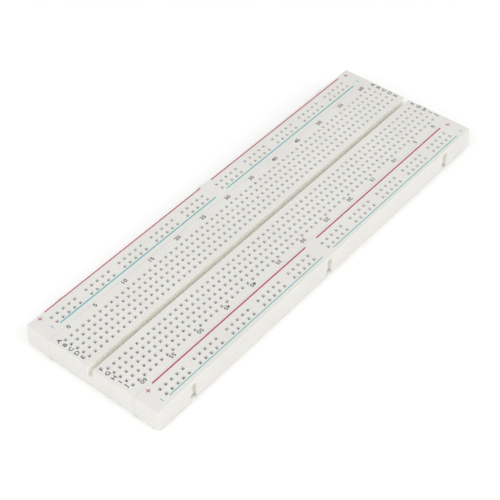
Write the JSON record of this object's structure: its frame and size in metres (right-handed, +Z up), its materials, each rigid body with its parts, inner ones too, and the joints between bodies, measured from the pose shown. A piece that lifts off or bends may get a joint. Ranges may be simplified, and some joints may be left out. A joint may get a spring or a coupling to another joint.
{
  "type": "solderless breadboard",
  "caption": "Flat white prototyping board: a terminal strip with a centre channel between two dovetailed power strips, square tie-point holes over spring contacts, foam-backed.",
  "frame": {"origin": "centre of the board's bounding box at its underside, with the far side's dovetail tabs counted in the width", "axes": "+X along the length, from column 1 to column 63; +Y across the board, from the side with dovetail slots to the side with dovetail tabs; +Z up out of the hole side"},
  "size_m": [0.165, 0.056, 0.0088],
  "materials": {
    "body_plastic": "satin moulded ABS, slightly milky white",
    "spring_metal": "bright nickel plating on bronze strip",
    "foam": "matt closed-cell foam tape",
    "liner_paper": "smooth siliconed paper"
  },
  "bodies": {
    "j_side_power_strip": {"j_side_minus_rail_contact_1": "spring_metal", "j_side_minus_rail_contact_2": "spring_metal", "j_side_plus_rail_contact_1": "spring_metal", "j_side_plus_rail_contact_2": "spring_metal", "j_side_power_foam_pad": "foam", "j_side_power_moulding": "body_plastic", "j_side_power_release_liner": "liner_paper"},
    "terminal_strip": {"clips_ae_01": "spring_metal", "clips_ae_02": "spring_metal", "clips_ae_03": "spring_metal", "clips_ae_04": "spring_metal", "clips_ae_05": "spring_metal", "clips_ae_06": "spring_metal", "clips_ae_07": "spring_metal", "clips_ae_08": "spring_metal", "clips_ae_09": "spring_metal", "clips_ae_10": "spring_metal", "clips_ae_11": "spring_metal", "clips_ae_12": "spring_metal", "clips_ae_13": "spring_metal", "clips_ae_14": "spring_metal", "clips_ae_15": "spring_metal", "clips_ae_16": "spring_metal", "clips_ae_17": "spring_metal", "clips_ae_18": "spring_metal", "clips_ae_19": "spring_metal", "clips_ae_20": "spring_metal", "clips_ae_21": "spring_metal", "clips_fj_01": "spring_metal", "clips_fj_02": "spring_metal", "clips_fj_03": "spring_metal", "clips_fj_04": "spring_metal", "clips_fj_05": "spring_metal", "clips_fj_06": "spring_metal", "clips_fj_07": "spring_metal", "clips_fj_08": "spring_metal", "clips_fj_09": "spring_metal", "clips_fj_10": "spring_metal", "clips_fj_11": "spring_metal", "clips_fj_12": "spring_metal", "clips_fj_13": "spring_metal", "clips_fj_14": "spring_metal", "clips_fj_15": "spring_metal", "clips_fj_16": "spring_metal", "clips_fj_17": "spring_metal", "clips_fj_18": "spring_metal", "clips_fj_19": "spring_metal", "clips_fj_20": "spring_metal", "clips_fj_21": "spring_metal", "terminal_foam_pad": "foam", "terminal_moulding": "body_plastic", "terminal_release_liner": "liner_paper"},
    "a_side_power_strip": {"a_side_minus_rail_contact_1": "spring_metal", "a_side_minus_rail_contact_2": "spring_metal", "a_side_plus_rail_contact_1": "spring_metal", "a_side_plus_rail_contact_2": "spring_metal", "a_side_power_foam_pad": "foam", "a_side_power_moulding": "body_plastic", "a_side_power_release_liner": "liner_paper"}
  },
  "joints": [
    {"name": "terminal_strip_lift", "type": "slide", "parent": "j_side_power_strip", "child": "terminal_strip", "axis": [0, 0, 1], "range_m": [0, 0.008]},
    {"name": "a_side_power_strip_lift", "type": "slide", "parent": "terminal_strip", "child": "a_side_power_strip", "axis": [0, 0, 1], "range_m": [0, 0.008]}
  ]
}
